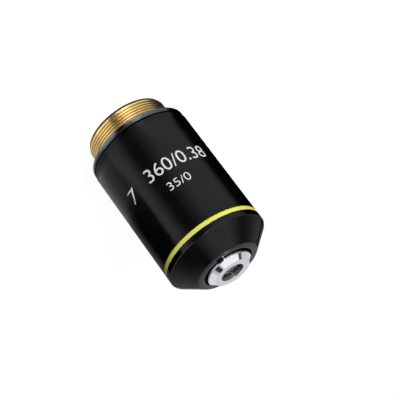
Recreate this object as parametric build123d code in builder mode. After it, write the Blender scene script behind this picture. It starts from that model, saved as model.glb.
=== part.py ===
"""A low-power microscope objective, standing on its thread rim with its nose up.

The optical axis is +Z and the origin is the centre of the thread rim. Heights are measured from that rim, which
is the rear of the objective, and "front" is the side of the nose. Threads are plain cylinders at their major
diameter. Lengths are in millimetres.
"""

import os
from math import copysign, cos, radians, sin, sqrt

from build123d import *

# Clearances
slide_clearance = 0.03
thread_clearance = 0.04
centring_clearance = 0.15
lens_clearance = 0.04
seat_clearance = 0.02
cement_thickness = 0.01
overrun = 1.0

# Rear mount with the standard objective thread
thread_radius = 10.16
thread_length = 4.6
thread_chamfer = 0.35
relief_depth = 0.56
relief_length = 0.7
spigot_step = 0.3
spigot_length = 4.2
spigot_wall = 0.6
mount_bore_chamfer = 0.3
mount_lip_depth = 0.5
mount_lip_length = 0.4

# Light baffle in the rear mount
baffle_depth = 1.5
baffle_length = 1.2
baffle_flare = 0.6

# Shoulder ring that seats on the nosepiece
shoulder_step = 0.15
shoulder_length = 1.45
shoulder_chamfer = 0.3
groove_depth = 0.35
groove_width = 0.35

# Outer barrel
barrel_step = 2.34
sleeve_length = 29.3
sleeve_wall = 1.25
sleeve_front_wall = 0.55
sleeve_front_depth = 3.4
sleeve_chamfer = 0.12

# Magnification ring
colour_ring_width = 1.2
colour_ring_chamfer = 0.08

# Front cone
cone_land = 1.3
cone_height = 4.25
cone_wall = 1.3
cone_edge_fillet = 0.35
annulus_width = 1.6
annulus_rise = 0.15
annulus_fillet = 0.2
annulus_gap = 0.5
annulus_hole_chamfer = 0.1
annulus_wall = 1.2
skirt_gap = 0.1

# Body tube
body_rear_land = 8.85
body_front_land = 6.0
body_waist_wall = 1.95
body_front_gap = 0.6
body_tap_depth = 6.25

# Lens barrel
lens_barrel_radius = 7.5
lens_barrel_wall = 0.9
lens_barrel_flange_width = 1.0
lens_barrel_flange = 0.8
lens_barrel_nose = 2.8

# Parfocal shim and lock ring behind the flange of the lens barrel
shim_thickness = 0.4
lock_ring_length = 1.8
lock_ring_width = 1.5

# Spanner slots of every threaded ring
slot_width = 1.0
slot_depth = 0.5

# Nose cell
nose_reach = 1.85
collar_radius = 5.7
collar_reach = 0.7
collar_chamfer = 0.1
collar_chamfer_width = 0.1
collar_length = 2.7
collar_seat_width = 0.5
nose_face_width = 1.65
aperture_radius = 2.85
aperture_taper = 0.25
aperture_length = 0.9
front_seat_width = 1.0
nose_thread_length = 2.6

# Front doublet
front_flint_thickness = 0.8
front_cement_curve = 5.5
front_crown_edge = 0.54
front_crown_curve = 6.5
front_ring_length = 1.5

# Middle lens in its cell
cell_lip = 0.5
lip_overlap = 0.5
ring_overlap = 0.65
spacer_tube_wall = 0.95
spacer_tube_length = 7.8
middle_cell_wall = 1.53
middle_lens_edge = 1.21
middle_front_curve = 25.0
middle_rear_curve = 12.0
middle_ring_length = 0.7

# Rear doublet in its cell
cell_spacer_wall = 0.95
cell_spacer_length = 1.5
rear_cell_wall = 1.13
rear_flint_thickness = 1.0
rear_cement_curve = 9.5
rear_crown_edge = 0.54
rear_crown_curve = 13.0
rear_ring_length = 1.4

# Aperture stop and the ring that closes the lens barrel
stop_radius = 4.5
stop_thickness = 0.6
barrel_ring_length = 2.0
barrel_ring_width = 1.36

# Set screws that centre the lens barrel
grub_count = 3
grub_radius = 1.0
grub_length = 1.9
grub_setback = 7.0
grub_socket_radius = 0.52
grub_socket_depth = 0.85


def sag(curve, radius):
    """Depth of a spherical face between its vertex and this radius."""
    return abs(curve) - sqrt(curve**2 - radius**2)


def face_height(vertex_z, curve, radius):
    """Height of a spherical face at a radius. A positive curve bulges to the front, a negative one to the rear."""
    return vertex_z - copysign(sag(curve, radius), curve)


def face_arc(vertex_z, curve, radius, middle_share=0.5):
    """Three points of a spherical face's half-section, from the axis to its edge."""
    middle = radius * middle_share
    return (
        (0, vertex_z),
        (middle, face_height(vertex_z, curve, middle)),
        (radius, face_height(vertex_z, curve, radius)),
    )


# Heights of the outside, from the rim to the nose
relief_z = thread_length
seat_z = relief_z + relief_length
mount_front_z = seat_z + spigot_length
groove_z = seat_z + shoulder_length
sleeve_z = groove_z + groove_width
colour_ring_z = sleeve_z + sleeve_length
cone_rear_z = colour_ring_z + colour_ring_width
cone_edge_z = cone_rear_z + cone_land
annulus_z = cone_edge_z + cone_height
nose_z = annulus_z + nose_reach

# Radii of the mount and of the outside, and of the shells that fit into each other
relief_radius = thread_radius - relief_depth
spigot_radius = relief_radius - spigot_step
mount_bore_radius = spigot_radius - spigot_wall
mount_lip_radius = mount_bore_radius - mount_lip_depth
baffle_bore_radius = mount_bore_radius - baffle_depth
barrel_radius = thread_radius + barrel_step
shoulder_radius = barrel_radius - shoulder_step
groove_radius = shoulder_radius - groove_depth
spigot_bore_radius = spigot_radius + slide_clearance
sleeve_bore_radius = barrel_radius - sleeve_wall
sleeve_front_bore = barrel_radius - sleeve_front_wall
skirt_radius = sleeve_front_bore - slide_clearance
body_radius = sleeve_bore_radius - slide_clearance
skirt_bore_radius = body_radius + thread_clearance
lens_barrel_flange_radius = lens_barrel_radius + lens_barrel_flange_width
body_bore_radius = lens_barrel_radius + centring_clearance
body_waist_radius = body_bore_radius + body_waist_wall
body_tap_radius = lens_barrel_flange_radius + thread_clearance
skirt_z = colour_ring_z - sleeve_front_depth + skirt_gap

# Heights inside, from the seat of the lens barrel's flange to the nose cell
body_front_z = cone_rear_z - body_front_gap
shelf_z = sleeve_z + body_tap_depth
shim_rear_z = shelf_z - shim_thickness
flange_rear_z = shim_rear_z - lens_barrel_flange
lock_ring_z = flange_rear_z - lock_ring_length
grub_z = colour_ring_z - sleeve_front_depth - body_front_land - grub_setback

# Nose cell and front doublet
collar_front_z = annulus_z + collar_reach
nose_cell_seat_z = collar_front_z - collar_length
nose_cell_rear_z = nose_cell_seat_z - nose_thread_length
annulus_hole_radius = collar_radius + annulus_gap
annulus_radius = annulus_hole_radius + annulus_width
lens_barrel_front_bore = collar_radius - collar_seat_width
nose_thread_radius = lens_barrel_front_bore - thread_clearance
nose_cone_rear_radius = collar_radius - collar_chamfer_width
nose_cone_front_radius = aperture_radius + nose_face_width
aperture_inner_radius = aperture_radius - aperture_taper
nose_cell_bore_radius = aperture_inner_radius + front_seat_width
front_lens_radius = nose_cell_bore_radius - lens_clearance
front_seat_z = nose_z - aperture_length
front_flint_z = front_seat_z - seat_clearance
front_cement_z = front_flint_z - front_flint_thickness
front_crown_z = front_cement_z - cement_thickness
front_crown_thickness = (
    front_crown_edge + sag(front_cement_curve, front_lens_radius) + sag(front_crown_curve, front_lens_radius)
)
front_crown_rear_z = front_crown_z - front_crown_thickness
front_ring_bore = front_lens_radius - ring_overlap
front_ring_z = face_height(front_crown_rear_z, -front_crown_curve, front_ring_bore) - seat_clearance

# Lens barrel and the train of cells behind the nose cell
barrel_shoulder_z = nose_cell_seat_z - lens_barrel_nose
lens_barrel_bore = lens_barrel_radius - lens_barrel_wall
train_radius = lens_barrel_bore - slide_clearance
middle_lens_radius = train_radius - middle_cell_wall - lens_clearance
rear_lens_radius = train_radius - rear_cell_wall - lens_clearance
middle_cell_z = barrel_shoulder_z - spacer_tube_length
middle_edge_z = middle_cell_z - cell_lip - seat_clearance
middle_lens_z = middle_edge_z - sag(middle_front_curve, middle_lens_radius)
middle_lens_rear_z = middle_edge_z - middle_lens_edge - sag(middle_rear_curve, middle_lens_radius)
middle_ring_bore = middle_lens_radius - ring_overlap
middle_ring_z = face_height(middle_lens_rear_z, -middle_rear_curve, middle_ring_bore) - seat_clearance
middle_cell_rear_z = middle_ring_z - middle_ring_length
rear_cell_z = middle_cell_rear_z - cell_spacer_length
rear_flint_z = rear_cell_z - cell_lip - seat_clearance
rear_cement_z = rear_flint_z - rear_flint_thickness
rear_crown_z = rear_cement_z - cement_thickness
rear_crown_thickness = (
    rear_crown_edge + sag(rear_cement_curve, rear_lens_radius) + sag(rear_crown_curve, rear_lens_radius)
)
rear_crown_rear_z = rear_crown_z - rear_crown_thickness
rear_ring_bore = rear_lens_radius - ring_overlap
rear_ring_z = face_height(rear_crown_rear_z, -rear_crown_curve, rear_ring_bore) - seat_clearance
rear_cell_rear_z = rear_ring_z - rear_ring_length
stop_z = rear_cell_rear_z - stop_thickness
barrel_ring_z = stop_z - barrel_ring_length


def slotted_ring(outer_radius, bore_radius, rear_z, front_z):
    """A threaded ring with a pair of spanner slots across its rear face."""
    with BuildPart() as ring:
        with BuildSketch(Plane.XY.offset(rear_z)):
            Circle(outer_radius)
            Circle(bore_radius, mode=Mode.SUBTRACT)
        extrude(amount=front_z - rear_z)
        with BuildSketch(Plane.XY.offset(rear_z)):
            Rectangle(2 * outer_radius + overrun, slot_width)
        extrude(amount=slot_depth, mode=Mode.SUBTRACT)
    return ring


def plain_ring(outer_radius, bore_radius, rear_z, front_z):
    """A flat ring or tube about the optical axis."""
    with BuildPart() as ring:
        with BuildSketch(Plane.XY.offset(rear_z)):
            Circle(outer_radius)
            Circle(bore_radius, mode=Mode.SUBTRACT)
        extrude(amount=front_z - rear_z)
    return ring


def stepped_cell(lens_radius, rear_z, front_z):
    """A brass cell open to the rear, with a lip in front that the lens seats on."""
    bore_radius = lens_radius + lens_clearance
    with BuildPart() as cell:
        with BuildSketch(Plane.XY.offset(rear_z)):
            Circle(train_radius)
        extrude(amount=front_z - rear_z)
        with BuildSketch(Plane.XY.offset(rear_z)):
            Circle(bore_radius)
        extrude(amount=front_z - rear_z - cell_lip, mode=Mode.SUBTRACT)
        with BuildSketch(Plane.XY.offset(front_z)):
            Circle(bore_radius - lip_overlap)
        extrude(amount=-cell_lip, mode=Mode.SUBTRACT)
    return cell


# Rear mount: rim, thread, relief groove, and the spigot that screws into the body tube
with BuildPart() as thread_mount:
    with BuildSketch(Plane.XZ):
        with BuildLine():
            Polyline(
                (mount_bore_radius + mount_bore_chamfer, 0),
                (thread_radius - thread_chamfer, 0),
                (thread_radius, thread_chamfer),
                (thread_radius, relief_z),
                (relief_radius, relief_z),
                (relief_radius, seat_z),
                (spigot_radius, seat_z),
                (spigot_radius, mount_front_z),
                (mount_lip_radius, mount_front_z),
                (mount_lip_radius, mount_front_z - mount_lip_length),
                (mount_bore_radius, mount_front_z - mount_lip_length),
                (mount_bore_radius, mount_bore_chamfer),
                close=True,
            )
        make_face()
    revolve(axis=Axis.Z)

# Light baffle against the lip of the mount, flared to the rear
with BuildPart() as rear_baffle:
    baffle_front_z = mount_front_z - mount_lip_length
    baffle_radius = mount_bore_radius - slide_clearance
    with BuildSketch(Plane.XZ):
        with BuildLine():
            Polyline(
                (baffle_bore_radius, baffle_front_z),
                (baffle_radius, baffle_front_z),
                (baffle_radius, baffle_front_z - baffle_length),
                (baffle_bore_radius + baffle_flare, baffle_front_z - baffle_length),
                close=True,
            )
        make_face()
    revolve(axis=Axis.Z)

# Shoulder ring, clamped between the mount and the body tube, with the groove in front of it
with BuildPart() as shoulder_ring:
    with BuildSketch(Plane.XZ):
        with BuildLine():
            Polyline(
                (spigot_bore_radius, seat_z),
                (shoulder_radius - shoulder_chamfer, seat_z),
                (shoulder_radius, seat_z + shoulder_chamfer),
                (shoulder_radius, groove_z),
                (groove_radius, groove_z),
                (groove_radius, sleeve_z),
                (spigot_bore_radius, sleeve_z),
                close=True,
            )
        make_face()
    revolve(axis=Axis.Z)

# Body tube: two lands that carry the sleeve, a waist between them, and the bores of the mount and lens barrel
grub_planes = [
    Plane(origin=(0, 0, grub_z), x_dir=(0, 0, 1), z_dir=(cos(turn), sin(turn), 0))
    for turn in [radians(360 / grub_count * index) for index in range(grub_count)]
]
with BuildPart() as body_tube:
    waist_rear_z = sleeve_z + body_rear_land
    waist_front_z = colour_ring_z - sleeve_front_depth - body_front_land
    spigot_end_z = mount_front_z + seat_clearance
    with BuildSketch(Plane.XZ):
        with BuildLine():
            Polyline(
                (spigot_radius + thread_clearance, sleeve_z),
                (body_radius, sleeve_z),
                (body_radius, waist_rear_z),
                (body_waist_radius, waist_rear_z),
                (body_waist_radius, waist_front_z),
                (body_radius, waist_front_z),
                (body_radius, body_front_z),
                (body_bore_radius, body_front_z),
                (body_bore_radius, shelf_z),
                (body_tap_radius, shelf_z),
                (body_tap_radius, spigot_end_z),
                (spigot_radius + thread_clearance, spigot_end_z),
                close=True,
            )
        make_face()
    revolve(axis=Axis.Z)
    with BuildSketch(*grub_planes):
        Circle(grub_radius + thread_clearance)
    extrude(amount=body_radius, mode=Mode.SUBTRACT)

# Set screws with hexagon sockets, in the waist of the body tube
with BuildPart() as grub_screws:
    with BuildSketch(*[plane.offset(lens_barrel_radius) for plane in grub_planes]):
        Circle(grub_radius)
    extrude(amount=grub_length)
    with BuildSketch(*[plane.offset(lens_barrel_radius + grub_length) for plane in grub_planes]):
        RegularPolygon(grub_socket_radius, side_count=6)
    extrude(amount=-grub_socket_depth, mode=Mode.SUBTRACT)

# Outer barrel, bored out in front for the skirt of the cone
with BuildPart() as barrel_sleeve:
    with BuildSketch(Plane.XZ):
        with BuildLine():
            Polyline(
                (sleeve_bore_radius, sleeve_z),
                (barrel_radius - sleeve_chamfer, sleeve_z),
                (barrel_radius, sleeve_z + sleeve_chamfer),
                (barrel_radius, colour_ring_z - sleeve_chamfer),
                (barrel_radius - sleeve_chamfer, colour_ring_z),
                (sleeve_front_bore, colour_ring_z),
                (sleeve_front_bore, colour_ring_z - sleeve_front_depth),
                (sleeve_bore_radius, colour_ring_z - sleeve_front_depth),
                close=True,
            )
        make_face()
    revolve(axis=Axis.Z)

# Magnification ring, clamped between the sleeve and the cone
with BuildPart() as colour_ring:
    with BuildSketch(Plane.XY.offset(colour_ring_z)):
        Circle(barrel_radius)
        Circle(sleeve_front_bore, mode=Mode.SUBTRACT)
    extrude(amount=colour_ring_width)
    chamfer(colour_ring.edges().filter_by(GeomType.CIRCLE).group_by(SortBy.RADIUS)[-1], colour_ring_chamfer)

# Front cone with its threaded skirt, and the shallow annulus round the nose cell
with BuildPart() as nose_cone:
    cone_slope = (barrel_radius - annulus_radius) / cone_height
    cone_wall_across = cone_wall * sqrt(1 + cone_slope**2)
    annulus_inner_z = annulus_z - annulus_wall
    cavity_front_radius = barrel_radius - cone_slope * (annulus_inner_z - cone_edge_z) - cone_wall_across
    cavity_rear_radius = barrel_radius - cone_wall_across
    with BuildSketch(Plane.XZ) as cone_section:
        with BuildLine():
            Polyline(
                (skirt_bore_radius, skirt_z),
                (skirt_radius, skirt_z),
                (skirt_radius, cone_rear_z),
                (barrel_radius, cone_rear_z),
                (barrel_radius, cone_edge_z),
                (annulus_radius, annulus_z),
                (annulus_hole_radius, annulus_z + annulus_rise),
                (annulus_hole_radius, annulus_inner_z),
                (cavity_front_radius, annulus_inner_z),
                (cavity_rear_radius, cone_edge_z),
                (cavity_rear_radius, cone_rear_z),
                (skirt_bore_radius, cone_rear_z),
                close=True,
            )
        make_face()
        cone_corner = cone_section.vertices().sort_by_distance((barrel_radius, cone_edge_z))[0]
        fillet(cone_corner, cone_edge_fillet)
        annulus_corner = cone_section.vertices().sort_by_distance((annulus_radius, annulus_z))[0]
        fillet(annulus_corner, annulus_fillet)
        hole_corner = cone_section.vertices().sort_by_distance((annulus_hole_radius, annulus_z + annulus_rise))[0]
        chamfer(hole_corner, annulus_hole_chamfer)
    revolve(axis=Axis.Z)

# Lens barrel, with the flange that the lock ring clamps and the shoulder that the train of cells rests on
with BuildPart() as lens_barrel:
    with BuildSketch(Plane.XZ):
        with BuildLine():
            Polyline(
                (lens_barrel_bore, flange_rear_z),
                (lens_barrel_flange_radius, flange_rear_z),
                (lens_barrel_flange_radius, shim_rear_z),
                (lens_barrel_radius, shim_rear_z),
                (lens_barrel_radius, nose_cell_seat_z),
                (lens_barrel_front_bore, nose_cell_seat_z),
                (lens_barrel_front_bore, barrel_shoulder_z),
                (lens_barrel_bore, barrel_shoulder_z),
                close=True,
            )
        make_face()
    revolve(axis=Axis.Z)

parfocal_shim = plain_ring(lens_barrel_flange_radius, body_bore_radius, shim_rear_z, shelf_z)
lock_ring = slotted_ring(
    lens_barrel_flange_radius, lens_barrel_flange_radius - lock_ring_width, lock_ring_z, flange_rear_z
)

# Nose cell: the thread into the lens barrel, the collar in the annulus, the bright cone, and the aperture
with BuildPart() as nose_cell:
    with BuildSketch(Plane.XZ):
        with BuildLine():
            Polyline(
                (nose_cell_bore_radius, nose_cell_rear_z),
                (nose_thread_radius, nose_cell_rear_z),
                (nose_thread_radius, nose_cell_seat_z),
                (collar_radius, nose_cell_seat_z),
                (collar_radius, collar_front_z),
                (nose_cone_rear_radius, collar_front_z + collar_chamfer),
                (nose_cone_front_radius, nose_z),
                (aperture_radius, nose_z),
                (aperture_inner_radius, front_seat_z),
                (nose_cell_bore_radius, front_seat_z),
                close=True,
            )
        make_face()
    revolve(axis=Axis.Z)

# Front doublet: a flat outer flint, cemented to the crown behind it
with BuildPart() as front_flint:
    with BuildSketch(Plane.XZ):
        with BuildLine():
            inner_face = ThreePointArc(*face_arc(front_cement_z, front_cement_curve, front_lens_radius))
            Polyline(inner_face @ 1, (front_lens_radius, front_flint_z), (0, front_flint_z), inner_face @ 0)
        make_face()
    revolve(axis=Axis.Z)

with BuildPart() as front_crown:
    with BuildSketch(Plane.XZ):
        with BuildLine():
            outer_face = ThreePointArc(*face_arc(front_crown_z, front_cement_curve, front_lens_radius))
            inner_face = ThreePointArc(*face_arc(front_crown_rear_z, -front_crown_curve, front_lens_radius))
            Line(outer_face @ 1, inner_face @ 1)
            Line(outer_face @ 0, inner_face @ 0)
        make_face()
    revolve(axis=Axis.Z)

front_retaining_ring = slotted_ring(
    nose_cell_bore_radius - thread_clearance, front_ring_bore, front_ring_z - front_ring_length, front_ring_z
)

# Spacer tube between the shoulder of the lens barrel and the middle cell
spacer_tube = plain_ring(train_radius, train_radius - spacer_tube_wall, middle_cell_z, barrel_shoulder_z)

# Middle cell with its meniscus, hollow towards the nose
middle_cell = stepped_cell(middle_lens_radius, middle_cell_rear_z, middle_cell_z)
with BuildPart() as middle_lens:
    with BuildSketch(Plane.XZ):
        with BuildLine():
            outer_face = ThreePointArc(*face_arc(middle_lens_z, -middle_front_curve, middle_lens_radius))
            inner_face = ThreePointArc(*face_arc(middle_lens_rear_z, -middle_rear_curve, middle_lens_radius))
            Line(outer_face @ 1, inner_face @ 1)
            Line(outer_face @ 0, inner_face @ 0)
        make_face()
    revolve(axis=Axis.Z)

middle_retaining_ring = slotted_ring(middle_lens_radius, middle_ring_bore, middle_cell_rear_z, middle_ring_z)

# Ring that sets the air space between the middle and rear cells
cell_spacer = plain_ring(train_radius, train_radius - cell_spacer_wall, rear_cell_z, middle_cell_rear_z)

# Rear cell with its cemented doublet
rear_cell = stepped_cell(rear_lens_radius, rear_cell_rear_z, rear_cell_z)
with BuildPart() as rear_flint:
    with BuildSketch(Plane.XZ):
        with BuildLine():
            inner_face = ThreePointArc(*face_arc(rear_cement_z, rear_cement_curve, rear_lens_radius))
            Polyline(inner_face @ 1, (rear_lens_radius, rear_flint_z), (0, rear_flint_z), inner_face @ 0)
        make_face()
    revolve(axis=Axis.Z)

with BuildPart() as rear_crown:
    with BuildSketch(Plane.XZ):
        with BuildLine():
            outer_face = ThreePointArc(*face_arc(rear_crown_z, rear_cement_curve, rear_lens_radius))
            inner_face = ThreePointArc(*face_arc(rear_crown_rear_z, -rear_crown_curve, rear_lens_radius))
            Line(outer_face @ 1, inner_face @ 1)
            Line(outer_face @ 0, inner_face @ 0)
        make_face()
    revolve(axis=Axis.Z)

rear_lens_ring = slotted_ring(rear_lens_radius, rear_ring_bore, rear_cell_rear_z, rear_ring_z)

# Aperture stop against the rear cell, held by the ring that closes the lens barrel
aperture_stop = plain_ring(train_radius, stop_radius, stop_z, rear_cell_rear_z)
barrel_ring_radius = lens_barrel_bore - thread_clearance
barrel_retaining_ring = slotted_ring(
    barrel_ring_radius, barrel_ring_radius - barrel_ring_width, barrel_ring_z, stop_z
)

pieces = {
    "thread_mount": thread_mount,
    "rear_baffle": rear_baffle,
    "shoulder_ring": shoulder_ring,
    "body_tube": body_tube,
    "grub_screws": grub_screws,
    "barrel_sleeve": barrel_sleeve,
    "colour_ring": colour_ring,
    "nose_cone": nose_cone,
    "lens_barrel": lens_barrel,
    "parfocal_shim": parfocal_shim,
    "lock_ring": lock_ring,
    "nose_cell": nose_cell,
    "front_flint": front_flint,
    "front_crown": front_crown,
    "front_retaining_ring": front_retaining_ring,
    "spacer_tube": spacer_tube,
    "middle_cell": middle_cell,
    "middle_lens": middle_lens,
    "middle_retaining_ring": middle_retaining_ring,
    "cell_spacer": cell_spacer,
    "rear_cell": rear_cell,
    "rear_flint": rear_flint,
    "rear_crown": rear_crown,
    "rear_lens_ring": rear_lens_ring,
    "aperture_stop": aperture_stop,
    "barrel_retaining_ring": barrel_retaining_ring,
}
os.makedirs("parts", exist_ok=True)
for name, piece in pieces.items():
    piece.part.label = name
    export_step(piece.part, f"parts/{name}.step")
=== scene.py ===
"""Looks of a low-power microscope objective that stands on its thread rim with its nose up.

The optical axis is +Z and the scene is in metres. Outlines are half-sections in millimetres, given as
(radius, height) with an optional third number for how far that corner is rounded.
"""

from math import atan2, cos, hypot, pi, radians, sin, tan, tau

import bmesh
import bpy
from bpy.props import FloatProperty, FloatVectorProperty, IntProperty, PointerProperty, StringProperty
from mathutils import Matrix, Vector


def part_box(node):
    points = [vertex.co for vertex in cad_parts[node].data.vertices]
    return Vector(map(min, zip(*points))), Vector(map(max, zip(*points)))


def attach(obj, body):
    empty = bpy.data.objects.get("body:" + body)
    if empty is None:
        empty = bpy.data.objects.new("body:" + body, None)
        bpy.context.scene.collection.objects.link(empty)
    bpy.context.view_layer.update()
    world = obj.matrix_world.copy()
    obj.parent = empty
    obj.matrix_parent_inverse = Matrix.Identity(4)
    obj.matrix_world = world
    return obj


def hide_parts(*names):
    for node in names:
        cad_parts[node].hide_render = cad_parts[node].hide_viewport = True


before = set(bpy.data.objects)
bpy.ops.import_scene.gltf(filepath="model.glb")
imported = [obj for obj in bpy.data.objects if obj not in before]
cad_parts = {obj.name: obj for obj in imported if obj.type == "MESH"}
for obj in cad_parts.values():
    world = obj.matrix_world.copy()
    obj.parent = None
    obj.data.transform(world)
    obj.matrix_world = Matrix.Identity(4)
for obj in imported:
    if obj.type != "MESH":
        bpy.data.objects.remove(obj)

bl_info = {
    "name": "Microscope Objective",
    "version": (1, 0, 0),
    "blender": (4, 5, 0),
    "location": "View3D > Sidebar > Objective",
    "description": "Dresses a low-power microscope objective and sets its stage",
    "category": "Object",
}

MM = 0.001
# A face this close to a bore, in millimetres, belongs to it.
BORE_REACH = 0.02


def node_radius(node):
    """Outer radius of a turned node, in millimetres."""
    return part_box(node)[1].x / MM


def node_heights(node):
    """Rear and front height of a node, in millimetres."""
    low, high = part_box(node)
    return low.z / MM, high.z / MM


# Settings


class ObjectiveSizes(bpy.types.PropertyGroup):
    """Sizes of the details that the finished pieces carry."""

    ring_segments: IntProperty(
        name="Ring segments", description="Faces round a turned piece", default=224, min=32
    )
    edge_round: FloatProperty(
        name="Edge round",
        description="Rounding of the machined edges",
        default=0.07 * MM,
        min=0.0,
        precision=6,
        unit="LENGTH",
        subtype="DISTANCE",
    )
    thread_pitch: FloatProperty(
        name="Thread pitch",
        description="Pitch of the objective thread, 36 turns to the inch",
        default=25.4 / 36 * MM,
        precision=6,
        unit="LENGTH",
        subtype="DISTANCE",
    )
    thread_depth: FloatProperty(
        name="Thread depth",
        description="Depth of the objective thread",
        default=0.45 * MM,
        precision=6,
        unit="LENGTH",
        subtype="DISTANCE",
    )
    thread_crest: FloatProperty(
        name="Thread crest",
        description="How far the crests of the thread are turned down to flats",
        default=0.3,
        min=0.0,
        max=0.9,
    )
    thread_rows: IntProperty(
        name="Thread rows", description="Rows of faces on one turn of the thread", default=16, min=6
    )
    first_line: StringProperty(
        name="First line", description="Plain numbers of the large line", default="360/0.38"
    )
    first_line_height: FloatProperty(
        name="First line height",
        description="Height of the large numbers",
        default=3.4 * MM,
        precision=6,
        unit="LENGTH",
        subtype="DISTANCE",
    )
    first_line_at: FloatProperty(
        name="First line place",
        description="Height of the middle of the large line above the rim",
        default=19.7 * MM,
        precision=6,
        unit="LENGTH",
        subtype="DISTANCE",
    )
    second_line: StringProperty(
        name="Second line", description="Plain numbers of the small line", default="35/0"
    )
    second_line_height: FloatProperty(
        name="Second line height",
        description="Height of the small numbers",
        default=2.1 * MM,
        precision=6,
        unit="LENGTH",
        subtype="DISTANCE",
    )
    second_line_at: FloatProperty(
        name="Second line place",
        description="Height of the middle of the small line above the rim",
        default=24.9 * MM,
        precision=6,
        unit="LENGTH",
        subtype="DISTANCE",
    )
    lone_number: StringProperty(
        name="Lone number", description="Plain number beside the large line", default="7"
    )
    lone_number_at: FloatProperty(
        name="Lone number place",
        description="Height of the middle of the lone number above the rim",
        default=20.2 * MM,
        precision=6,
        unit="LENGTH",
        subtype="DISTANCE",
    )
    paint_height: FloatProperty(
        name="Paint height",
        description="How far the numbers stand on the barrel",
        default=0.015 * MM,
        precision=6,
        unit="LENGTH",
        subtype="DISTANCE",
    )


def colour(name, description, default):
    """A colour property, as a linear colour."""
    return FloatVectorProperty(
        name=name, description=description, default=default, size=3, min=0.0, max=1.0, subtype="COLOR"
    )


class ObjectiveColours(bpy.types.PropertyGroup):
    """Colours of the finishes."""

    brass: colour("Brass", "Bright brass of the thread", (0.88, 0.70, 0.35))
    # Dark brass of the tool marks and tarnish, also laid in the thread roots as painted shade.
    brass_dark_and_root_shade: colour("Dark brass", "Brass down in the thread", (0.42, 0.24, 0.03))
    cell_brass: colour("Cell brass", "Brass of the inner cells", (0.70, 0.50, 0.22))
    enamel: colour("Black enamel", "Barrel and cone", (0.0006, 0.0006, 0.0008))
    matt_black: colour("Matt black", "Blackened inside", (0.010, 0.010, 0.010))
    yellow: colour("Yellow enamel", "Magnification ring", (0.88, 0.87, 0.13))
    shoulder: colour("Shoulder grey", "Satin shoulder ring", (0.165, 0.165, 0.175))
    chrome: colour("Bright chrome", "Front cell", (0.86, 0.89, 0.94))
    alloy: colour("Alloy", "Body tube and lens barrel", (0.55, 0.56, 0.58))
    steel: colour("Steel", "Set screws", (0.40, 0.40, 0.42))
    glass: colour("Glass", "Tint of the coated lenses", (0.80, 0.92, 0.85))
    paint: colour("White paint", "Plain numbers", (0.88, 0.88, 0.88))
    floor: colour("Floor", "Pale floor", (0.90, 0.90, 0.90))


class ObjectiveStage(bpy.types.PropertyGroup):
    """Camera and light."""

    camera_elevation: FloatProperty(
        name="Elevation",
        description="Camera height above the horizon",
        default=radians(24.93),
        subtype="ANGLE",
        unit="ROTATION",
    )
    camera_roll: FloatProperty(
        name="Roll",
        description="Turn of the camera about its line of sight",
        default=radians(143.3),
        subtype="ANGLE",
        unit="ROTATION",
    )
    camera_distance: FloatProperty(
        name="Distance",
        description="From the aim point to the camera",
        default=363.26 * MM,
        unit="LENGTH",
        subtype="DISTANCE",
    )
    camera_aim: FloatVectorProperty(
        name="Aim",
        description="Point that the camera looks at",
        default=(-3.8 * MM, 0.0, 26.06 * MM),
        size=3,
        precision=6,
        unit="LENGTH",
        subtype="TRANSLATION",
    )
    lens: FloatProperty(name="Lens", description="Focal length of the camera in mm", default=144.7)
    fill: FloatProperty(name="Fill", description="Level of the world's diffuse light", default=0.08, min=0.0)
    floor_glow: FloatProperty(
        name="Floor glow",
        description="Share of the floor's white that isn't lamp light",
        default=0.94,
        min=0.0,
    )


# Shapes


def rounded(outline, softness, steps=4):
    """The closed outline with each corner turned into a short curve."""
    side_share, shortest = 0.45, 1e-6
    points = []
    for index, corner in enumerate(outline):
        here = Vector(corner[:2])
        reach = corner[2] if len(corner) > 2 else softness
        before = Vector(outline[index - 1][:2]) - here
        after = Vector(outline[(index + 1) % len(outline)][:2]) - here
        turn = pi - before.angle(after)
        length = min(reach * tan(turn / 2), side_share * before.length, side_share * after.length)
        if length < shortest:
            points.append(here)
            continue
        start, end = here + before.normalized() * length, here + after.normalized() * length
        for step in range(steps + 1):
            share = step / steps
            points.append(start * (1 - share) ** 2 + here * 2 * share * (1 - share) + end * share**2)
    return points


def divided(points, step, low, high, least_radius):
    """The outline with rows no further apart than step, outside least_radius and between low and high."""
    rows = []
    for index, start in enumerate(points):
        end = points[(index + 1) % len(points)]
        rows.append(start)
        inside = all(p.x >= least_radius and low <= p.y <= high for p in (start, end))
        count = int((end - start).length / step) if inside else 0
        rows.extend(start.lerp(end, number / (count + 1)) for number in range(1, count + 1))
    return rows


def turned(name, points, segments):
    """A mesh of the outline turned once about the optical axis, smooth, with its flats kept flat."""
    work = bmesh.new()
    section = [work.verts.new((p.x * MM, 0.0, p.y * MM)) for p in points]
    lines = [work.edges.new((a, b)) for a, b in zip(section, section[1:] + section[:1])]
    bmesh.ops.spin(
        work, geom=section + lines, cent=(0, 0, 0), axis=(0, 0, 1), angle=tau, steps=segments, use_merge=True
    )
    bmesh.ops.recalc_face_normals(work, faces=work.faces)
    for face in work.faces:
        face.smooth = True
    mesh = bpy.data.meshes.new(name)
    work.to_mesh(mesh)
    work.free()
    return mesh


def piece(name, mesh, materials, node=None):
    """Puts a finished mesh in the scene, riding on the body, in place of its node where it has one."""
    if not mesh.polygons:
        raise RuntimeError(name + " has no faces")
    made = bpy.data.objects.new(name, mesh)
    bpy.context.scene.collection.objects.link(made)
    for material in materials:
        mesh.materials.append(material)
    flats = made.modifiers.new("flats", "WEIGHTED_NORMAL")
    flats.weight = 100
    if node:
        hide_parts(node)
    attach(made, "root")


# Finishes


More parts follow.
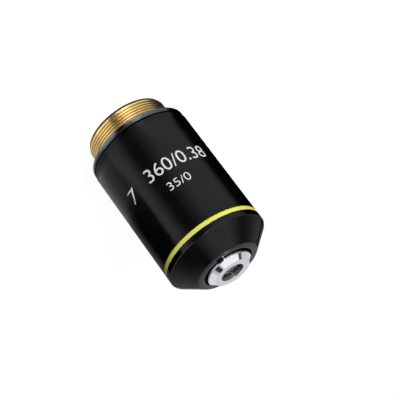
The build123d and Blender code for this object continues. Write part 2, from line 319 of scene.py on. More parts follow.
def node(tree, kind, inputs=None, **settings):
    """Adds a shader node. An input is a socket to link from, or a value to set."""
    made = tree.nodes.new("ShaderNode" + kind)
    for key, value in settings.items():
        setattr(made, key, value)
    for key, value in (inputs or {}).items():
        if isinstance(value, bpy.types.NodeSocket):
            tree.links.new(value, made.inputs[key])
        else:
            made.inputs[key].default_value = value
    return made


def linear(tone):
    """The tone with the fourth number that a socket wants."""
    return (tone[0], tone[1], tone[2], 1.0)


def scaled(tone, share):
    """The tone made darker or paler by one share."""
    return [channel * share for channel in tone]


def started(name):
    """An empty material with its tree, its principled shader and the piece's own coordinates."""
    material = bpy.data.materials.new(name)
    material.use_nodes = True
    tree = material.node_tree
    tree.nodes.clear()
    shader = node(tree, "BsdfPrincipled")
    output = node(tree, "OutputMaterial", {"Surface": shader.outputs["BSDF"]})
    output.target = "ALL"
    return material, tree, shader, node(tree, "TexCoord").outputs["Object"]


def tool_lines(tree, place, lines, around=60.0, on_faces=1.6):
    """Coordinates that change fast along a turned surface and slowly round it, so that noise on them reads
    as the marks of a lathe tool. On a flat end they change on_faces times as fast as along the axis."""
    split = node(tree, "SeparateXYZ", {"Vector": place})
    flat = node(tree, "CombineXYZ", {"X": split.outputs["X"], "Y": split.outputs["Y"]})
    radius = node(tree, "VectorMath", {0: flat.outputs["Vector"]}, operation="LENGTH").outputs["Value"]
    along = node(tree, "Math", {0: radius, 1: on_faces, 2: split.outputs["Z"]}, operation="MULTIPLY_ADD")
    fast = node(tree, "Math", {0: along.outputs["Value"], 1: lines}, operation="MULTIPLY").outputs["Value"]
    slow = node(tree, "VectorMath", {0: flat.outputs["Vector"], "Scale": around}, operation="SCALE")
    both = node(tree, "SeparateXYZ", {"Vector": slow.outputs["Vector"]})
    joined = node(tree, "CombineXYZ", {"X": both.outputs["X"], "Y": both.outputs["Y"], "Z": fast})
    return joined.outputs["Vector"], radius


def noise(tree, vector, scale, detail):
    """Plain noise on a coordinate."""
    return node(tree, "TexNoise", {"Vector": vector, "Scale": scale, "Detail": detail}).outputs["Fac"]


def spread(tree, value, low, high, start=0.3, end=0.7):
    """Maps a value from start..end to low..high."""
    return node(
        tree,
        "MapRange",
        {"Value": value, "From Min": start, "From Max": end, "To Min": low, "To Max": high},
    ).outputs["Result"]


def mixed(tree, share, first, second):
    """The second colour laid over the first by a share. Each is a tone or a socket."""
    made = node(tree, "Mix", {"Factor": share}, data_type="RGBA")
    for socket, value in ((made.inputs[6], first), (made.inputs[7], second)):
        if isinstance(value, bpy.types.NodeSocket):
            tree.links.new(value, socket)
        else:
            socket.default_value = linear(value)
    return made.outputs[2]


def bumped(tree, shader, height, distance):
    """Lets a height in the material tilt the shader's normal."""
    bump = node(tree, "Bump", {"Height": height, "Distance": distance, "Strength": 1.0})
    tree.links.new(bump.outputs["Normal"], shader.inputs["Normal"])


def turned_metal(name, bright, dark, rough, lines=9000.0, bump=1.2e-6, root=None):
    """Metal off a lathe: fine tool lines round it, faint clouds of tarnish, and painted shade down in a
    thread where root gives its radii.
    """
    material, tree, shader, place = started(name)
    vector, radius = tool_lines(tree, place, lines)
    marks = noise(tree, vector, 1.0, 3.0)
    clouds = noise(tree, place, 260.0, 3.0)
    worn = mixed(tree, spread(tree, marks, 0.0, 0.45), bright, dark)
    shaded = mixed(tree, spread(tree, clouds, 0.0, 0.35, start=0.45, end=0.75), worn, dark)
    if root:
        # Painted shade: dark brass laid in the thread, strongest at the root's radius and gone by the second
        # radius.
        shaded = mixed(tree, spread(tree, radius, 0.7, 0.0, start=root[0], end=root[1]), shaded, dark)
    tree.links.new(shaded, shader.inputs["Base Color"])
    shader.inputs["Metallic"].default_value = 1.0
    tree.links.new(spread(tree, marks, *rough), shader.inputs["Roughness"])
    bumped(tree, shader, marks, bump)
    return material


def enamel(name, tone, rough, gloss, lift=0.35, bump=1.5e-6, lines=0.0):
    """Paint on metal: slight orange peel, soft clouds in its tone, fine dust, and tool lines where asked."""
    peel, haze, dust_tone = 2600.0, 0.002, 0.006
    material, tree, shader, place = started(name)
    skin = noise(tree, place, peel, 2.0)
    clouds = noise(tree, place, 180.0, 3.0)
    dust = noise(tree, place, 9000.0, 1.0)
    pale = [min(1.0, channel * (1 + lift) + haze * lift) for channel in tone]
    cloudy = mixed(tree, spread(tree, clouds, 0.0, 1.0), tone, pale)
    dusty = [min(1.0, channel + dust_tone) for channel in tone]
    speckled = mixed(tree, spread(tree, dust, 0.0, 0.5, start=0.68, end=0.8), cloudy, dusty)
    tree.links.new(speckled, shader.inputs["Base Color"])
    tree.links.new(spread(tree, clouds, *rough), shader.inputs["Roughness"])
    shader.inputs["Specular IOR Level"].default_value = gloss
    shader.inputs["Specular Tint"].default_value = linear((0.92, 0.94, 1.0))
    height = skin
    if lines:
        marks = noise(tree, tool_lines(tree, place, lines)[0], 1.0, 2.0)
        height = node(tree, "Math", {0: skin, 1: marks}, operation="ADD").outputs["Value"]
    bumped(tree, shader, height, bump)
    return material


def coated_glass(name, tint):
    """Polished lens glass with a thin coating, and the faint wipe marks that it always keeps."""
    material, tree, shader, place = started(name)
    shader.inputs["Base Color"].default_value = linear(tint)
    shader.inputs["Transmission Weight"].default_value = 1.0
    shader.inputs["IOR"].default_value = 1.62
    shader.inputs["Specular Tint"].default_value = linear((0.80, 1.0, 0.92))
    wipes = noise(tree, place, 700.0, 4.0)
    tree.links.new(spread(tree, wipes, 0.0, 0.03), shader.inputs["Roughness"])
    bumped(tree, shader, wipes, 2.0e-7)
    return material


def stroked_paint(name, tone):
    """Pad-printed white paint, slightly thin in places."""
    material, tree, shader, place = started(name)
    grain = noise(tree, place, 5200.0, 3.0)
    patchy = mixed(tree, spread(tree, grain, 0.0, 1.0, start=0.35, end=0.75), tone, scaled(tone, 0.82))
    tree.links.new(patchy, shader.inputs["Base Color"])
    tree.links.new(spread(tree, grain, 0.45, 0.6), shader.inputs["Roughness"])
    shader.inputs["Specular IOR Level"].default_value = 0.3
    bumped(tree, shader, grain, 1.0e-6)
    return material


# Pieces


class OBJECTIVE_OT_thread_mount(bpy.types.Operator):
    """Make the brass rear mount with its cut thread, its blackened bore, and painted shade in black on its
    rim
    """

    bl_idname = "objective.thread_mount"
    bl_label = "Thread mount"

    def execute(self, context):
        sizes, tones = context.scene.objective_sizes, context.scene.objective_colours
        radius = node_radius("thread_mount")
        front = node_heights("thread_mount")[1]
        seat = node_heights("shoulder_ring")[0]
        relief, spigot, bore, lip = radius - 0.56, radius - 0.86, radius - 1.46, radius - 1.96
        chamfer, bore_chamfer, lip_length = 0.35, 0.3, 0.4
        thread_start, fade_in, thread_end, rim_shade_end = 0.7, 0.2, 4.6, 0.64
        first_turn, lead_in, run_out, run_out_slope, bright_share = 0.33, 0.75, 0.25, 1.2, 0.2
        row_slack, cut_slack, height_slack = 0.01, 0.05, 1e-6
        outline = [
            (bore + bore_chamfer, 0),
            (radius - chamfer, 0, 0.03),
            (radius, chamfer, 0.0),
            (radius, thread_end, 0.0),
            (relief, thread_end, 0.0),
            (relief, seat),
            (spigot, seat),
            (spigot, front),
            (lip, front),
            (lip, front - lip_length),
            (bore, front - lip_length),
            (bore, bore_chamfer),
        ]
        points = rounded(outline, sizes.edge_round / MM)
        pitch, depth = sizes.thread_pitch / MM, sizes.thread_depth / MM
        rows = divided(points, pitch / sizes.thread_rows, 0.0, thread_end, radius - chamfer - row_slack)
        mesh = turned("thread_mount_brass", rows, sizes.ring_segments)
        for vertex in mesh.vertices:
            x, y, z = (c / MM for c in vertex.co)
            out = hypot(x, y)
            if z <= thread_end + height_slack and out > radius - chamfer - cut_slack:
                wave = 0.5 - 0.5 * cos(tau * (z / pitch + first_turn) - atan2(y, x))
                wave = max(0.0, wave - sizes.thread_crest) / (1 - sizes.thread_crest)
                wave *= min(1.0, max(0.0, (z - thread_start) / fade_in))
                at_start = radius - chamfer + chamfer * z / lead_in
                at_end = radius - run_out_slope * max(0.0, z - thread_end + run_out)
                cut = min(out, radius - depth * wave, at_start, at_end)
                vertex.co.x, vertex.co.y = x * cut / out * MM, y * cut / out * MM
        brass = turned_metal(
            "thread_brass",
            tones.brass,
            tones.brass_dark_and_root_shade,
            rough=(0.24, 0.36),
            # Radii over which the painted shade in the thread's roots fades out.
            root=((radius - depth) * MM, (radius - bright_share * depth) * MM),
        )
        black = enamel("bore_black_and_rim_shade", tones.matt_black, rough=(0.6, 0.8), gloss=0.3)
        piece("brass_thread_mount", mesh, [brass, black], "thread_mount")
        # The bore is blackened; the rim's faces below rim_shade_end take the same black as painted shade.
        for face in mesh.polygons:
            middle = face.center
            inside = hypot(middle.x, middle.y) < (bore + BORE_REACH) * MM
            face.material_index = int(inside or middle.z < rim_shade_end * MM)
        return {"FINISHED"}


class OBJECTIVE_OT_shoulder_ring(bpy.types.Operator):
    """Make the satin grey shoulder ring and the groove in front of it, with painted shade in the groove"""

    bl_idname = "objective.shoulder_ring"
    bl_label = "Shoulder ring"

    def execute(self, context):
        sizes, tones = context.scene.objective_sizes, context.scene.objective_colours
        radius = node_radius("shoulder_ring")
        rear, front = node_heights("shoulder_ring")
        bevel, groove_width, groove_edge, spigot_step = 0.3, 0.35, 0.14, 0.83
        groove, groove_floor = front - groove_width, radius - 0.35
        bore = node_radius("thread_mount") - spigot_step
        outline = [
            (bore, rear),
            (radius - bevel, rear, 0.12),
            (radius, rear + bevel, 0.12),
            (radius, groove, groove_edge),
            (groove_floor, groove, 0.02),
            (groove_floor, front, 0.02),
            (bore, front),
        ]
        mesh = turned("shoulder_ring_grey", rounded(outline, sizes.edge_round / MM), sizes.ring_segments)
        dark = scaled(tones.shoulder, 0.45)
        grey = turned_metal(
            "shoulder_satin", tones.shoulder, dark, rough=(0.12, 0.20), lines=14000.0, bump=6.0e-7
        )
        # Painted shade: the groove gets black enamel without any gloss, so it stays dark like a deep groove
        # in shade.
        black = enamel("groove_painted_shade", tones.enamel, rough=(0.55, 0.75), gloss=0.0, lines=9000.0)
        piece("satin_shoulder_ring", mesh, [grey, black], "shoulder_ring")
        for face in mesh.polygons:
            face.material_index = int(face.center.z > (groove - groove_edge) * MM)
        return {"FINISHED"}


class OBJECTIVE_OT_barrel_sleeve(bpy.types.Operator):
    """Make the black outer barrel"""

    bl_idname = "objective.barrel_sleeve"
    bl_label = "Barrel sleeve"

    def execute(self, context):
        sizes, tones = context.scene.objective_sizes, context.scene.objective_colours
        outside = node_radius("barrel_sleeve")
        radius = outside - sizes.paint_height / MM
        rear, front = node_heights("barrel_sleeve")
        bore, front_bore, step = outside - 1.25, outside - 0.55, 3.4
        outline = [
            (bore, rear),
            (radius, rear, 0.16),
            (radius, front, 0.12),
            (front_bore, front),
            (front_bore, front - step),
            (bore, front - step),
        ]
        mesh = turned("barrel_sleeve_black", rounded(outline, sizes.edge_round / MM), sizes.ring_segments)
        black = enamel("barrel_enamel", tones.enamel, rough=(0.17, 0.22), gloss=0.3)
        piece("black_barrel_sleeve", mesh, [black], "barrel_sleeve")
        return {"FINISHED"}


class OBJECTIVE_OT_marking(bpy.types.Operator):
    """Print the plain numbers on the barrel"""

    bl_idname = "objective.marking"
    bl_label = "Plain numbers"

    def execute(self, context):
        sizes, tones = context.scene.objective_sizes, context.scene.objective_colours
        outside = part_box("barrel_sleeve")[1].x
        white = stroked_paint("number_paint", tones.paint)
        large, small = sizes.first_line_height, sizes.second_line_height
        lines = (
            ("numbers_large", sizes.first_line, large, sizes.first_line_at, (-13.4, 61.0)),
            ("numbers_small", sizes.second_line, small, sizes.second_line_at, (-1.0, 25.6)),
            ("number_apart", sizes.lone_number, large, sizes.lone_number_at, (-43.8, -31.8)),
        )
        for name, words, height, level, (start, end) in lines:
            mesh = self.printed(name, words, height, level, radians(start), radians(end), outside, sizes)
            piece(name, mesh, [white])
        return {"FINISHED"}

    def printed(self, name, words, height, level, start, end, outside, sizes):
        """A line of numbers, cut fine enough to bend round the barrel, with its tops towards the thread.

        Its back lies as far under the barrel's surface as its face stands above it.
        """
        fewest_cuts, widest_cut, same_point = 8, radians(1.2), 1e-4
        curve = bpy.data.curves.new(name, "FONT")
        curve.body = words
        curve.extrude = 0.5
        curve.offset = -0.002
        curve.resolution_u = 8
        letters = bpy.data.objects.new(name + "_flat", curve)
        bpy.context.scene.collection.objects.link(letters)
        mesh = bpy.data.meshes.new_from_object(letters)
        bpy.data.objects.remove(letters)
        bpy.data.curves.remove(curve)
        work = bmesh.new()
        work.from_mesh(mesh)
        bmesh.ops.remove_doubles(work, verts=work.verts, dist=same_point)
        low = Vector([min(v.co[axis] for v in work.verts) for axis in range(3)])
        high = Vector([max(v.co[axis] for v in work.verts) for axis in range(3)])
        cuts = max(fewest_cuts, int((end - start) / widest_cut))
        for cut in range(1, cuts):
            across = low.x + (high.x - low.x) * cut / cuts
            whole = work.verts[:] + work.edges[:] + work.faces[:]
            bmesh.ops.bisect_plane(work, geom=whole, plane_co=(across, 0, 0), plane_no=(1, 0, 0))
        bmesh.ops.triangulate(work, faces=work.faces)
        for vertex in work.verts:
            across = (vertex.co.x - low.x) / (high.x - low.x)
            upward = (vertex.co.y - low.y) / (high.y - low.y) - 0.5
            turn = start + (end - start) * across
            out = outside if vertex.co.z > 0 else outside - 2 * sizes.paint_height
            vertex.co = (-out * sin(turn), -out * cos(turn), level - upward * height)
        bmesh.ops.recalc_face_normals(work, faces=work.faces)
        work.to_mesh(mesh)
        work.free()
        return mesh


class OBJECTIVE_OT_colour_ring(bpy.types.Operator):
    """Make the yellow magnification ring"""

    bl_idname = "objective.colour_ring"
    bl_label = "Colour ring"

    def execute(self, context):
        sizes, tones = context.scene.objective_sizes, context.scene.objective_colours
        radius = node_radius("colour_ring")
        rear, front = node_heights("colour_ring")
        bore, edge, black_edge = radius - 0.55, 0.09, 0.08
        outline = [
            (bore, rear),
            (radius, rear, edge),
            (radius, front, edge),
            (bore, front),
        ]
        mesh = turned("colour_ring_yellow", rounded(outline, sizes.edge_round / MM), sizes.ring_segments)
        yellow = enamel("ring_enamel", tones.yellow, rough=(0.3, 0.42), gloss=0.4, lift=0.04, bump=1.0e-6)
        black = enamel("ring_edge_black", tones.enamel, rough=(0.4, 0.6), gloss=0.2)
        piece("yellow_colour_ring", mesh, [yellow, black], "colour_ring")
        for face in mesh.polygons:
            height = face.center.z / MM
            face.material_index = int(height < rear + black_edge or height > front - black_edge)
        return {"FINISHED"}


class OBJECTIVE_OT_nose_cone(bpy.types.Operator):
    """Make the black front cone with its rounded edges"""

    bl_idname = "objective.nose_cone"
    bl_label = "Nose cone"

    def execute(self, context):
        sizes, tones = context.scene.objective_sizes, context.scene.objective_colours
        radius = node_radius("nose_cone")
        skirt_rear, front = node_heights("nose_cone")
        rear = node_heights("colour_ring")[1]
        land, dish, gap, flat_width = 1.3, 0.15, 0.5, 1.6
        side_wall, front_wall, skirt_step, skirt_wall = 1.3, 1.2, 0.58, 0.66
        edge, annulus = rear + land, front - dish
        hole = node_radius("nose_cell") + gap
        flat = hole + flat_width
        slope = (radius - flat) / (annulus - edge)
        inner = annulus - front_wall
        wall = side_wall * hypot(1, slope)
        skirt = radius - skirt_step
        flat_slack = 0.005
        outline = [
            (skirt - skirt_wall, skirt_rear),
            (skirt, skirt_rear),
            (skirt, rear, 0.0),
            (radius, rear, 0.1),
            (radius, edge, 0.35),
            (flat, annulus, 0.2),
            (hole, front, 0.1),
            (hole, inner),
            (radius - slope * (inner - edge) - wall, inner),
            (radius - wall, edge),
            (radius - wall, rear),
            (skirt - skirt_wall, rear),
        ]
        points = rounded(outline, sizes.edge_round / MM, steps=6)
        mesh = turned("nose_cone_black", points, sizes.ring_segments)
        black = enamel("cone_enamel", tones.enamel, rough=(0.12, 0.17), gloss=0.3, lines=9000.0, bump=5.0e-7)
        smooth = enamel(
            "annulus_enamel", tones.enamel, rough=(0.10, 0.14), gloss=0.3, lines=6000.0, bump=4.0e-7
        )
        piece("black_nose_cone", mesh, [black, smooth], "nose_cone")
        for face in mesh.polygons:
            middle = face.center
            ahead = middle.z > (annulus + flat_slack) * MM
            face.material_index = int(ahead and hypot(middle.x, middle.y) > hole * MM)
        return {"FINISHED"}


class OBJECTIVE_OT_nose_cell(bpy.types.Operator):
    """Make the bright front cell round the front lens"""

    bl_idname = "objective.nose_cell"
    bl_label = "Nose cell"

    def execute(self, context):
        sizes, tones = context.scene.objective_sizes, context.scene.objective_colours
        radius = node_radius("nose_cell")
        rear, front = node_heights("nose_cell")
        seat, collar = rear + 2.6, rear + 5.3
        thread, bore, aperture, floor = radius - 0.54, 3.6, 2.85, front - 0.9
        bevel, ring_width, taper, black_depth = 0.1, 1.65, 0.25, 0.12
        outline = [
            (bore, rear),
            (thread, rear),
            (thread, seat),
            (radius, seat),
            (radius, collar, 0.04),
            (radius - bevel, collar + bevel, 0.06),
            (aperture + ring_width, front, 0.08),
            (aperture, front, 0.08),
            (aperture - taper, floor, 0.03),
            (bore, floor, 0.03),
        ]
        mesh = turned("nose_cell_bright", rounded(outline, sizes.edge_round / MM), sizes.ring_segments)
        dark = scaled(tones.chrome, 0.72)
        bright = turned_metal(
            "cell_chrome", tones.chrome, dark, rough=(0.06, 0.11), lines=7000.0, bump=6.0e-7
        )
        black = enamel("aperture_black", scaled(tones.matt_black, 5), rough=(0.3, 0.45), gloss=0.5)
        piece("bright_nose_cell", mesh, [bright, black], "nose_cell")
        for face in mesh.polygons:
            middle = face.center
            inside = hypot(middle.x, middle.y) < (bore + BORE_REACH) * MM
            face.material_index = int(inside and middle.z < (front - black_depth) * MM)
        return {"FINISHED"}


class OBJECTIVE_OT_inner_finishes(bpy.types.Operator):
    """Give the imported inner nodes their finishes"""

    bl_idname = "objective.inner_finishes"
    bl_label = "Inner finishes"

    def execute(self, context):
        tones, dark_share = context.scene.objective_colours, 0.6
        black = enamel("inner_matt_black", tones.matt_black, rough=(0.55, 0.75), gloss=0.3, lines=6000.0)
        alloy = turned_metal("inner_alloy", tones.alloy, scaled(tones.alloy, dark_share), rough=(0.28, 0.42))
        steel = turned_metal("screw_steel", tones.steel, scaled(tones.steel, dark_share), rough=(0.25, 0.4))
        brass = turned_metal(
            "cell_brass", tones.cell_brass, scaled(tones.cell_brass, dark_share), rough=(0.22, 0.36)
        )
        glass = coated_glass("lens_glass", tones.glass)
        finishes = {
            black: (
                "rear_baffle",
                "lock_ring",
                "front_retaining_ring",
                "middle_retaining_ring",
                "spacer_tube",
                "cell_spacer",
                "rear_lens_ring",
                "aperture_stop",
                "barrel_retaining_ring",
            ),
            alloy: ("body_tube", "lens_barrel"),
            steel: ("grub_screws",),
            brass: ("middle_cell", "rear_cell", "parfocal_shim"),
            glass: ("front_flint", "front_crown", "middle_lens", "rear_flint", "rear_crown"),
        }
        for material, names in finishes.items():
            for name in names:
                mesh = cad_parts[name].data
                mesh.materials.clear()
                mesh.materials.append(material)
        return {"FINISHED"}


# Stage


def seen(tree):
    """1 for the rays that look at the stage straight, in a mirror or through glass, and 0 for its light."""
    rays = node(tree, "LightPath").outputs
    straight = node(tree, "Math", {0: rays["Is Camera Ray"], 1: rays["Is Glossy Ray"]}, operation="MAXIMUM")
    both = {0: straight.outputs["Value"], 1: rays["Is Transmission Ray"]}
    return node(tree, "Math", both, operation="MAXIMUM").outputs["Value"]


class OBJECTIVE_OT_stage(bpy.types.Operator):
    """Set the pale floor, the soft studio light and the camera"""

    bl_idname = "objective.stage"
    bl_label = "Stage"

    def execute(self, context):
        scene, stage, tones = context.scene, context.scene.objective_stage, context.scene.objective_colours
        scene.view_settings.view_transform = "Standard"
        self.world(scene, stage)
        self.floor(scene, stage, tones)
        self.cards(scene, stage)
        self.lamps(scene)
        self.camera(scene, stage)
        return {"FINISHED"}

    def world(self, scene, stage):
        """A world that looks white and lights matt surfaces only by the fill."""
        world = bpy.data.worlds.new("studio_white")
        world.use_nodes = True
        tree = world.node_tree
        tree.nodes.clear()
        level = node(tree, "MapRange", {"Value": seen(tree), "To Min": stage.fill, "To Max": 1.0})
        inputs = {"Color": linear((1.0, 1.0, 1.0)), "Strength": level.outputs["Result"]}
        white = node(tree, "Background", inputs)
        node(tree, "OutputWorld", {"Surface": white.outputs["Background"]})
        scene.world = world

    def floor(self, scene, stage, tones):
        """A flat floor that is white to look at and takes the object's shadow."""
        work = bmesh.new()
        bmesh.ops.create_grid(work, x_segments=8, y_segments=8, size=3.0)
        mesh = bpy.data.meshes.new("pale_floor")
        work.to_mesh(mesh)
        work.free()
        floor = bpy.data.objects.new("pale_floor", mesh)
        scene.collection.objects.link(floor)
        floor.location.z = -0.02 * MM
        material = bpy.data.materials.new("pale_floor")
        material.use_nodes = True
        tree = material.node_tree
        tree.nodes.clear()
        matt = node(tree, "BsdfDiffuse", {"Color": linear(scaled(tones.floor, 0.25))})
        level = node(tree, "Math", {0: seen(tree), 1: stage.floor_glow}, operation="MULTIPLY")
        glow = node(tree, "Emission", {"Strength": level.outputs["Value"]})
        both = node(tree, "AddShader", {0: matt.outputs["BSDF"], 1: glow.outputs["Emission"]})
        node(tree, "OutputMaterial", {"Surface": both.outputs["Shader"]})
        mesh.materials.append(material)

    def cards(self, scene, stage):
        """Black, grey and white cards that only reflections see, as round a product on a studio table.

        Each row has the light at its first and last turn, then those turns, then its radii, heights or tilts.
        Angles are in degrees and turns are counted about the optical axis from the camera's side.
        """
        floor_layer, wall_layer, far_layer = 0.02, 0.01, 2
        sky_height, sky_away = 42, 300
        glow = bpy.data.materials.new("card_glow")
        glow.use_nodes = True
        tree = glow.node_tree
        tree.nodes.clear()
        level = node(tree, "Attribute", attribute_name="level").outputs["Fac"]
        light = node(tree, "Emission", {"Strength": level})
        node(tree, "OutputMaterial", {"Surface": light.outputs["Emission"]})

        slant = tan(stage.camera_elevation)
        eye = stage.camera_distance * Vector((0.0, -cos(stage.camera_elevation), sin(stage.camera_elevation)))
        eye += Vector(stage.camera_aim)

        def around(turn):
            return Vector((-sin(turn), -cos(turn), 0.0))

        def on_floor(turn, out, order):
            return around(turn) * out * MM + Vector((0.0, 0.0, (floor_layer + floor_layer * order) * MM))

        def mirrored(radius):
            """The place of a card on the floor that the camera sees in an upright wall of this radius."""
            lift = 0.02 * radius - 0.1

            def place(turn, height, order):
                spot = around(turn) * radius + around(2 * turn) * height / slant
                return (spot + Vector((0.0, 0.0, lift + wall_layer * order))) * MM

            return place

        def overhead(turn, climb, order):
            toward = around(turn) * cos(radians(climb)) + Vector((0.0, 0.0, sin(radians(climb))))
            return Vector((0.0, 0.0, sky_height * MM)) + (sky_away - far_layer * order) * MM * toward

        def seen_in(radius, height, away):
            """The place, this far off, of a card seen in a slope of this radius, this high up."""

            def place(turn, tilt, order):
                lean = Vector((0.0, 0.0, sin(radians(tilt))))
                normal = around(turn) * cos(radians(tilt)) + lean
                spot = around(turn) * radius * MM + Vector((0.0, 0.0, height * MM))
                sight = (eye - spot).normalized()
                return spot + (away - far_layer * order) * MM * (2 * normal.dot(sight) * normal - sight)

            return place

        for place, cards in (
            (
                on_floor,
                (
                    ("rim", (0.0, 0.0), (-180, 180), (8.9, 11.2)),
                    ("behind", (0.0, 0.0), (160, 200), (13, 260)),
                ),
            ),
            (
                mirrored(node_radius("thread_mount")),
                (
                    ("near_end", (0.3, 0.7), (-110, -66), (0, 6.2)),
                    ("near_left", (0.9, 0.75), (-66, -38), (0, 6.2)),
                    ("near_front", (1.4, 1.3), (-38, -13), (0, 6.2)),
                    ("near_fall", (1.2, 0.0), (-13, -9.5), (0, 6.2)),
                    ("near_dark", (0.0, 0.0), (-9.5, -0.5), (0, 6.2)),
                    ("near_rise", (0.0, 1.0), (-0.5, 6), (0, 6.2)),
                    ("near_gleam", (1.9, 1.9), (9, 20), (0, 6.2)),
                    ("near_right", (1.2, 0.6), (20, 47), (0, 6.2)),
                    ("near_edge", (0.6, 0.0), (47, 57), (0, 6.2)),
                    ("near_far", (0.0, 0.0), (57, 120), (0, 6.2)),
                ),
            ),
            (
                mirrored(node_radius("barrel_sleeve")),
                (
                    ("shoulder_edge", (0.3, 0.05), (-90, -70), (5.2, 7.1)),
                    ("shoulder_left", (0.10, 0.10), (-70, -33), (5.2, 7.1)),
                    ("shoulder_front", (0.7, 0.7), (-33, -17), (5.2, 7.1)),
                    ("shoulder_fall", (0.6, 0.0), (-17, -12), (5.2, 7.1)),
                    ("shoulder_dark", (0.0, 0.0), (-12, -2), (5.2, 7.1)),
                    ("shoulder_rise", (0.0, 0.4), (-2, 11.5), (5.2, 7.1)),
                    ("shoulder_right", (0.75, 0.3), (19, 57), (5.2, 7.1)),
                    ("left_edge", (0.4, 0.4), (-90, -70), (7.1, 17.5)),
                    ("left_start", (1.0, 1.0), (-70, -34), (7.1, 8.3)),
                    ("left_next", (0.6, 0.54), (-70, -34), (8.3, 9.6)),
                    ("left_half", (0.52, 0.46), (-70, -34), (9.6, 13.7)),
                    ("left_low", (0.5, 0.46), (-70, -32), (13.7, 17.5)),
                    ("left_soft", (0.4, 0.3), (-90, -32), (17.5, 18.8)),
                    ("left_side", (0.4, 0.34), (-90, -60), (18.8, 20.5)),
                    ("left_turn", (0.3, 0.0), (-60, -53), (18.8, 20.5)),
                    ("left_dusk", (0.0, 0.0), (-53, -29.5), (18.8, 20.5)),
                    ("left_far", (0.12, 0.16), (-90, -69), (20.5, 120)),
                    ("left_fade", (0.16, 0.0), (-69, -60), (20.5, 120)),
                    ("left_dark", (0.0, 0.0), (-60, -29.5), (20.5, 120)),
                    ("front_left", (0.95, 0.1), (-22, -11), (7.1, 120)),
                    ("front", (0.1, 0.12), (-11, -1), (7.1, 120)),
                    ("front_right", (0.12, 0.9), (-1, 17), (7.1, 120)),
                    ("right_front", (0.9, 0.84), (17, 34), (10, 120)),
                    ("right", (0.84, 0.62), (34, 46), (7.1, 120)),
                    ("right_edge", (0.62, 0.0), (46, 55), (7.1, 120)),
                    ("right_dark", (0.0, 0.0), (55, 90), (5.2, 120)),
                    ("gleam", (1.5, 1.5), (11.5, 19), (5.2, 7.1)),
                ),
            ),
            (
                overhead,
                (
                    ("sky_back", (0.56, 0.56), (108, 252), (8, 62)),
                    ("sky_face", (0.72, 0.72), (173, 187), (17, 28)),
                    ("low_left", (0.1, 0.1), (-175, -100), (-8, 7)),
                    ("low_right", (0.0, 0.0), (96, 185), (-8, 7)),
                ),
            ),
            (
                seen_in(10.0, 41.0, 260),
                (
                    ("cone_edge", (0.24, 0.36), (-90, -60), (44, 54)),
                    ("cone_left", (0.36, 0.08), (-60, -36), (44, 54)),
                    ("cone_dark", (0.08, 0.08), (-36, -14), (44, 54)),
                    ("cone_front", (0.12, 1.0), (-14, 4), (44, 54)),
                    ("cone_right", (0.85, 0.15), (28, 44), (44, 54)),
                    ("cone_soft", (0.13, 0.3), (44, 70), (44, 54)),
                    ("cone_far", (0.32, 0.18), (70, 90), (44, 54)),
                ),
            ),
            (
                seen_in(5.1, 44.1, 30),
                (
                    ("cell_left", (0.8, 0.85), (-95, -41), (44, 54)),
                    ("cell_soft", (0.8, 0.4), (-41, -29), (44, 54)),
                    ("cell_dark", (0.03, 0.03), (-29, -16), (44, 54)),
                    ("cell_rise", (0.4, 1.0), (-16, -9), (44, 54)),
                    ("cell_front", (1.05, 1.05), (-9, 38), (44, 54)),
                    ("cell_right", (0.1, 0.1), (38, 48), (44, 54)),
                    ("cell_edge", (0.7, 0.8), (48, 95), (44, 54)),
                ),
            ),
            (
                seen_in(7.0, 43.2, 290),
                (("annulus_gleam", (8.0, 8.0), (7, 15), (84.0, 85.3)),),
            ),
            (
                seen_in(10.0, 2.3, 240),
                (
                    ("thread_left", (0.8, 0.9), (-75, -38), (13, 42)),
                    ("thread_front", (1.6, 1.6), (-38, -13), (13, 42)),
                    ("thread_dark", (0.03, 0.03), (-13, 0.5), (13, 42)),
                    ("thread_gleam", (1.5, 1.5), (5, 24), (13, 42)),
                    ("thread_right", (0.7, 0.03), (45, 58), (13, 42)),
                ),
            ),
            (
                seen_in(10.0, 2.3, 60),
                (("thread_edge", (0.0, 0.0), (57, 105), (10, 75)),),
            ),
        ):
            for order, (name, levels, turns, spans) in enumerate(cards):
                self.card(scene, "card_" + name, glow, levels, turns, spans, place, order)

    def card(self, scene, name, glow, levels, turns, spans, place, order):
        """One card over a range of turns and of radii, heights or tilts."""
        fewest_steps, widest_step, strips = 4, 4, 6
        work = bmesh.new()
        shade = work.verts.layers.float.new("level")
        count = max(fewest_steps, int((turns[1] - turns[0]) / widest_step))
        rows = []
        for step in range(count + 1):
            share = step / count
            turn = radians(turns[0] + (turns[1] - turns[0]) * share)
            across = [spans[0] + (spans[1] - spans[0]) * line / strips for line in range(strips + 1)]
            row = [work.verts.new(place(turn, reach, order)) for reach in across]
            for vertex in row:
                vertex[shade] = levels[0] + (levels[1] - levels[0]) * share
            rows.append(row)
        for first, second in zip(rows, rows[1:]):
            for low in range(strips):
                work.faces.new((first[low], first[low + 1], second[low + 1], second[low]))
        mesh = bpy.data.meshes.new(name)
        work.to_mesh(mesh)
        work.free()
        mesh.materials.append(glow)
        made = bpy.data.objects.new(name, mesh)
        scene.collection.objects.link(made)
        made.visible_camera = made.visible_diffuse = made.visible_shadow = made.visible_transmission = False

    def lamps(self, scene):
        """Large soft lamps, each aimed at the middle of the object."""
        middle = Vector((0, 0, 22 * MM))
        for name, toward, distance, size, power in (
            ("key_lamp", (-0.28, -0.87, 0.40), 0.8, 0.45, 5.1),
            ("side_lamp", (-0.93, -0.10, 0.34), 0.9, 0.40, 2.4),
        ):
            light = bpy.data.lights.new(name, "AREA")
            light.shape = "DISK"
            light.size = size
            light.energy = power
            lamp = bpy.data.objects.new(name, light)
            lamp.visible_glossy = name != "side_lamp"
            scene.collection.objects.link(lamp)
            direction = Vector(toward).normalized()
            lamp.location = middle + direction * distance
            lamp.rotation_euler = direction.to_track_quat("Z", "Y").to_euler()

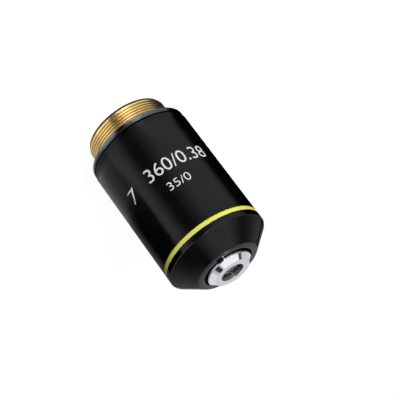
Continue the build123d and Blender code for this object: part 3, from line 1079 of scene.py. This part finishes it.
    def camera(self, scene, stage):
        """The photo's camera, rolled about its line of sight."""
        view = bpy.data.cameras.new("photo_camera")
        view.lens = stage.lens
        view.sensor_width = 36.0
        view.clip_start = 0.01
        camera = bpy.data.objects.new("photo_camera", view)
        scene.collection.objects.link(camera)
        level = Matrix.Rotation(pi / 2 - stage.camera_elevation, 4, "X")
        turned_view = level @ Matrix.Rotation(stage.camera_roll, 4, "Z")
        back = turned_view.to_3x3() @ Vector((0, 0, 1))
        place = Vector(stage.camera_aim) + back * stage.camera_distance
        camera.matrix_world = Matrix.Translation(place) @ turned_view
        scene.camera = camera


class OBJECTIVE_PT_panel(bpy.types.Panel):
    """The objective's pieces and stage, in the order in which they are made"""

    bl_label = "Microscope objective"
    bl_idname = "OBJECTIVE_PT_panel"
    bl_space_type = "VIEW_3D"
    bl_region_type = "UI"
    bl_category = "Objective"

    def draw(self, context):
        layout = self.layout
        for group in (
            context.scene.objective_sizes,
            context.scene.objective_colours,
            context.scene.objective_stage,
        ):
            box = layout.box()
            for name in group.__annotations__:
                box.prop(group, name)
        for step in STEPS:
            layout.operator(step.bl_idname)


STEPS = (
    OBJECTIVE_OT_thread_mount,
    OBJECTIVE_OT_shoulder_ring,
    OBJECTIVE_OT_barrel_sleeve,
    OBJECTIVE_OT_marking,
    OBJECTIVE_OT_colour_ring,
    OBJECTIVE_OT_nose_cone,
    OBJECTIVE_OT_nose_cell,
    OBJECTIVE_OT_inner_finishes,
    OBJECTIVE_OT_stage,
)
CLASSES = (ObjectiveSizes, ObjectiveColours, ObjectiveStage, *STEPS, OBJECTIVE_PT_panel)


def register():
    for cls in CLASSES:
        bpy.utils.register_class(cls)
    bpy.types.Scene.objective_sizes = PointerProperty(type=ObjectiveSizes)
    bpy.types.Scene.objective_colours = PointerProperty(type=ObjectiveColours)
    bpy.types.Scene.objective_stage = PointerProperty(type=ObjectiveStage)


def unregister():
    del bpy.types.Scene.objective_stage
    del bpy.types.Scene.objective_colours
    del bpy.types.Scene.objective_sizes
    for cls in reversed(CLASSES):
        bpy.utils.unregister_class(cls)


def main():
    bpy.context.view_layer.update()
    register()
    bpy.ops.objective.thread_mount()
    bpy.ops.objective.shoulder_ring()
    bpy.ops.objective.barrel_sleeve()
    bpy.ops.objective.marking()
    bpy.ops.objective.colour_ring()
    bpy.ops.objective.nose_cone()
    bpy.ops.objective.nose_cell()
    bpy.ops.objective.inner_finishes()
    bpy.ops.objective.stage()


if __name__ == "__main__":
    main()
